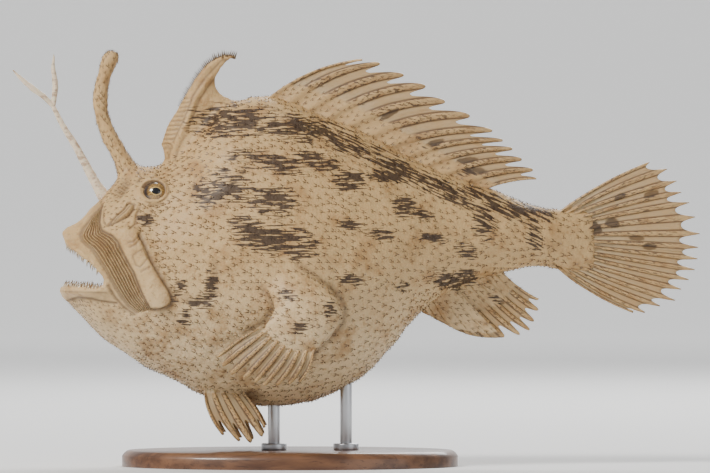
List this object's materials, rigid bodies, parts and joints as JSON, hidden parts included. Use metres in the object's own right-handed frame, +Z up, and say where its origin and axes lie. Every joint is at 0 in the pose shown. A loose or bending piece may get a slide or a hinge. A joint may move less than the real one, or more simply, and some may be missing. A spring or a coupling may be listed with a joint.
{
  "type": "frogfish model on a display stand",
  "caption": "Life-size globular frogfish with an open upturned mouth, forked lure, club and hooked dorsal spines, arm-like pectoral fins and spread fins, held over an oval base on short rods",
  "frame": {"origin": "centre of the underside of the stand's base, on the surface that it stands on", "axes": "+Z up, snout towards -X and tail towards +X, the fish's left side towards -Y"},
  "size_m": [0.172, 0.06, 0.104],
  "materials": {
    "skin": "sandy ochre skin with dark brown blotches and streaks, covered with close-set forked prickles",
    "jaw": "smooth pale lip skin with rows of fine curved ivory teeth",
    "fin": "translucent pale fin skin over thicker rays, with dark bars and spots",
    "lure": "pale fleshy rod and forked bait",
    "eye": "wet golden-brown iris with dark spokes round a black pupil",
    "wood": "dark stained hardwood with a satin lacquer",
    "steel": "brushed stainless steel"
  },
  "bodies": {
    "root": {"head": "skin", "trunk": "skin", "tail": "skin", "upper_jaw": "jaw", "lower_jaw": "jaw", "cheek_bone_left": "skin", "cheek_bone_right": "skin", "eye_left": "eye", "eye_right": "eye", "illicium": "lure", "esca": "lure", "second_dorsal_spine": "skin", "third_dorsal_spine": "skin", "dorsal_fin": "fin", "anal_fin": "fin", "caudal_fin": "fin", "arm_left": "skin", "arm_right": "skin", "pectoral_fin_left": "fin", "pectoral_fin_right": "fin", "pelvic_fin_left": "fin", "pelvic_fin_right": "fin", "stand_base": "wood", "stand_rod_front": "steel", "stand_rod_back": "steel"}
  },
  "joints": []
}
